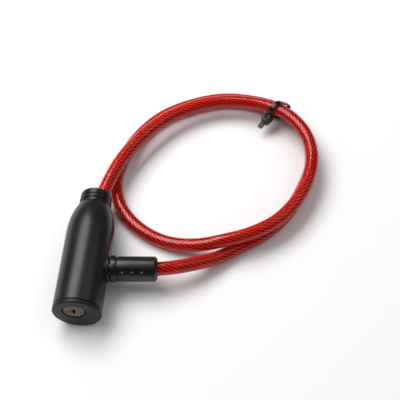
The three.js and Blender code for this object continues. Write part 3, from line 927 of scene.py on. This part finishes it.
class CABLELOCK_OT_end_cap(bpy.types.Operator):
    """Makes the end cap round the key plug"""

    bl_idname = "cable_lock.end_cap"
    bl_label = "End cap"

    def execute(self, context):
        sizes = context.scene.lock_head
        thick = sizes.cap / MM
        spigot, inside, spigot_end = HEAD_R - 2.2, HEAD_R - 4.0, 6.2
        disc = rounded(
            [
                (0, 0),
                (HEAD_R, 0, 0.9),
                (HEAD_R, thick, 0.3),
                (spigot, thick, 0.1),
                (spigot, spigot_end, 0.4),
                (inside, spigot_end, 0.4),
                (inside, thick, 0.1),
                (0, thick),
            ]
        )
        cap = turned("cap", disc, ON_HEAD, steps=128)
        hole, chamfer, through = sizes.plug / MM + 0.55, 0.35, 7
        wide = hole + chamfer
        cutter = [(0, -PAST), (wide + PAST, -PAST), (wide, 0), (hole, chamfer), (hole, through), (0, through)]
        combine(cap, "DIFFERENCE", turned("hole", cutter, ON_PLUG))
        soften(cap, width=0, angle=32)
        plastic = moulded_plastic("cap_plastic", context.scene.lock_colours.shell, 0.4, shine=0.2)
        dress(cap, plastic)
        fit(cap, "head", "end_cap")
        return {"FINISHED"}


class CABLELOCK_OT_key_plug(bpy.types.Operator):
    """Makes the brass plug with its keyway"""

    bl_idname = "cable_lock.key_plug"
    bl_label = "Key plug"

    def barrel(self, r, face):
        """Outline of the plug, with the groove that its retaining pin sits in and a stub for the cam."""
        end, groove, stub = 19.7, 5.0, 1.5
        return rounded(
            [
                (0, face),
                (r, face, 0.5),
                (r, 17.7, 0.1),
                (groove, 17.7, 0.1),
                (groove, 19.1, 0.1),
                (r, 19.1, 0.1),
                (r, end, 0.3),
                (stub, end, 0.1),
                (stub, end + 1.1, 0.2),
                (0, end + 1.1),
            ]
        )

    def execute(self, context):
        sizes = context.scene.lock_head
        r, face, keyway_end = sizes.plug / MM, 0.25, 17.2
        plug = turned("plug", self.barrel(r, face), ON_PLUG)
        half = sizes.keyway / MM / 2
        tall = sizes.blade / MM / 2
        keyway = block("keyway", (-half, -tall, -PAST), (half, tall, keyway_end), ON_PLUG)
        ward = block("ward", (half - PAST, -1.3, -PAST), (half + 0.4, -0.4, keyway_end), ON_PLUG)
        dish = block("dish", (-3.6, -0.9, -PAST), (0, 0.9, face + 0.22), ON_PLUG, 0.2)
        first, gap, slot_half = 5.8, 2.4, 0.5
        slots = [
            block("slot", (-2.85, -r - PAST, z - slot_half), (2.85, r + PAST, z + slot_half), ON_PLUG)
            for z in (first + gap * i for i in range(WAFERS))
        ]
        combine(plug, "DIFFERENCE", keyway, ward, dish, *slots)
        soften(plug, width=0.08, angle=32)
        dress(plug, plug_face_brass("plug_brass", context.scene.lock_colours.brass))
        fit(plug, "plug", "key_plug")
        return {"FINISHED"}


class CABLELOCK_OT_ferrule(bpy.types.Operator):
    """Makes the dimpled sleeve and the locking pin"""

    bl_idname = "cable_lock.ferrule"
    bl_label = "Ferrule"

    def sleeve_outline(self, collar, barrel, end):
        """Outline of the sleeve from its collar, and back inside. The barrel is split between dimples."""
        return rounded(
            [
                (4.3, 15.5),
                (4.8, 15.0, 0.2),
                (collar, 15.0, 0.55),
                (collar, 18.1, 0.4),
                (6.7, 18.2, 0.2),
                (6.7, 18.85, 0.2),
                (barrel, 19.0, 0.3),
                (barrel, 26.0),
                (barrel, 33.0),
                (barrel, end - 1.5, 1.2),
                (6.3, end - 0.45, 0.6),
                (5.3, end, 0.3),
                (4.35, end, 0.3),
                (4.35, 36.6, 0.1),
                (5.5, 36.6, 0.1),
                (5.5, 18.7, 0.1),
                (4.3, 18.7, 0.1),
                (4.3, 15.5),
            ]
        )

    def dimples(self, sizes, barrel):
        """Cutters for rows of three dimples, at these angles round the sleeve."""
        width, depth = sizes.dimple / MM, sizes.depth / MM
        first, gap = 21.4, 5.55
        cutters = []
        for row in (52, -23, 232, 157):
            for i in range(3):
                deselect()
                bpy.ops.mesh.primitive_uv_sphere_add(segments=24, ring_count=12, radius=1)
                dimple = named("dimple")
                bpy.ops.object.mode_set(mode="EDIT")
                bpy.ops.mesh.select_all(action="SELECT")
                bpy.ops.transform.resize(value=(depth, width, width))
                bpy.ops.object.mode_set(mode="OBJECT")
                out = Matrix.Translation((barrel, 0, first + gap * i))
                cutters.append(lay_in(dimple, ON_PORT @ Matrix.Rotation(-math.radians(row), 4, "Z") @ out))
        return cutters

    def pin_outline(self, r):
        """Outline of the locking pin: its tapered nose, the latch's groove, its flange and its spigot."""
        nose, groove, flange, spigot = 1.7, 2.9, 5.2, 2.6
        return rounded(
            [
                (0, -8.6),
                (nose, -8.6, 0.5),
                (r, -5.6, 0.8),
                (r, -1.6, 0.15),
                (groove, -1.6, 0.15),
                (groove, 1.8, 0.15),
                (r, 1.8, 0.15),
                (r, 19.0, 0.1),
                (flange, 19.0, 0.15),
                (flange, 20.8, 0.2),
                (spigot, 20.8, 0.1),
                (spigot, 27.5, 0.2),
                (0, 27.5),
            ]
        )

    def execute(self, context):
        sizes = context.scene.lock_ferrule
        collar, barrel, end = sizes.collar / MM, sizes.sleeve / MM, sizes.end / MM
        sleeve = turned("sleeve", self.sleeve_outline(collar, barrel, end), ON_PORT, steps=128)
        combine(sleeve, "DIFFERENCE", *self.dimples(sizes, barrel))
        soften(sleeve, width=0.14, angle=28)
        black = context.scene.lock_colours.sleeve
        plastic = moulded_plastic("sleeve_plastic", black, 0.36, grain=0.008, shine=0.5)
        dress(sleeve, plastic)
        fit(sleeve, "ferrule", "ferrule_sleeve")

        pin = turned("pin", self.pin_outline(sizes.pin / MM), ON_PORT, steps=64)
        soften(pin, width=0, angle=32)
        turned_steel = metal(
            "pin_steel", (0.55, 0.56, 0.58), 0.26, (2400, 300, 300), depth=0.006, dull=0.15
        )
        dress(pin, turned_steel)
        fit(pin, "ferrule", "locking_pin")
        return {"FINISHED"}


class CABLELOCK_OT_mechanism(bpy.types.Operator):
    """Gives the pieces inside the lock their metals, and gives the latch's spring a mesh of its own"""

    bl_idname = "cable_lock.mechanism"
    bl_label = "Mechanism"

    def execute(self, context):
        zinc = metal("zinc_casting", (0.42, 0.43, 0.45), 0.55, (300, 300, 300), depth=0.05, dull=0.3)
        steel = metal("plated_steel", (0.55, 0.56, 0.58), 0.3, (2400, 300, 300), depth=0.006, dull=0.2)
        sprung = metal("spring_wire", (0.36, 0.37, 0.39), 0.25, (600, 600, 3000), depth=0.004, dull=0.2)
        brass = metal("wafer_brass", (0.60, 0.44, 0.22), 0.35, (300, 300, 2400), depth=0.006, dull=0.25)
        pins = ("plug_retaining_pin", "anchor_pin", "shell_pin")
        numbers = range(1, WAFERS + 1)
        finishes = (
            ("zinc_casting", zinc, ("lock_body", "cam_tail")),
            ("steel", steel, ("latch_plate", "cable_anchor", "ferrule_crimp", *pins)),
            ("spring_steel", sprung, ("latch_spring", *(f"wafer_spring_{i}" for i in numbers))),
            ("plug_brass", brass, tuple(f"wafer_{i}" for i in numbers)),
        )
        for slot, finish, nodes in finishes:
            for node in nodes:
                dress(frame["nodes"][node], finish)
        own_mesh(frame["nodes"]["latch_spring"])
        return {"FINISHED"}


class CABLELOCK_PT_panel(bpy.types.Panel):
    """Lists the lock's pieces and sizes"""

    bl_idname = "CABLELOCK_PT_panel"
    bl_label = "Cable Lock"
    bl_space_type = "VIEW_3D"
    bl_region_type = "UI"
    bl_category = "Cable Lock"

    def draw(self, context):
        for operator in OPERATORS:
            self.layout.operator(operator.bl_idname)
        for group in GROUPS:
            settings = getattr(context.scene, group)
            box = self.layout.box()
            for name in settings.bl_rna.properties.keys():
                if name not in ("rna_type", "name"):
                    box.prop(settings, name)


GROUPS = {
    "lock_head": HeadSizes,
    "lock_ferrule": FerruleSizes,
    "lock_cable": CableSizes,
    "lock_colours": Colours,
    "lock_view": ViewSettings,
}
OPERATORS = (
    CABLELOCK_OT_stage,
    CABLELOCK_OT_tie,
    CABLELOCK_OT_cable,
    CABLELOCK_OT_shell,
    CABLELOCK_OT_end_cap,
    CABLELOCK_OT_key_plug,
    CABLELOCK_OT_ferrule,
    CABLELOCK_OT_mechanism,
)


def register():
    for cls in (*GROUPS.values(), *OPERATORS, CABLELOCK_PT_panel):
        bpy.utils.register_class(cls)
    for name, cls in GROUPS.items():
        setattr(bpy.types.Scene, name, PointerProperty(type=cls))


def unregister():
    for name in GROUPS:
        delattr(bpy.types.Scene, name)
    for cls in reversed((*GROUPS.values(), *OPERATORS, CABLELOCK_PT_panel)):
        bpy.utils.unregister_class(cls)


def main():
    register()
    bpy.ops.cable_lock.stage()
    bpy.ops.cable_lock.tie()
    bpy.ops.cable_lock.cable()
    bpy.ops.cable_lock.shell()
    bpy.ops.cable_lock.end_cap()
    bpy.ops.cable_lock.key_plug()
    bpy.ops.cable_lock.ferrule()
    bpy.ops.cable_lock.mechanism()


if __name__ == "__main__":
    main()
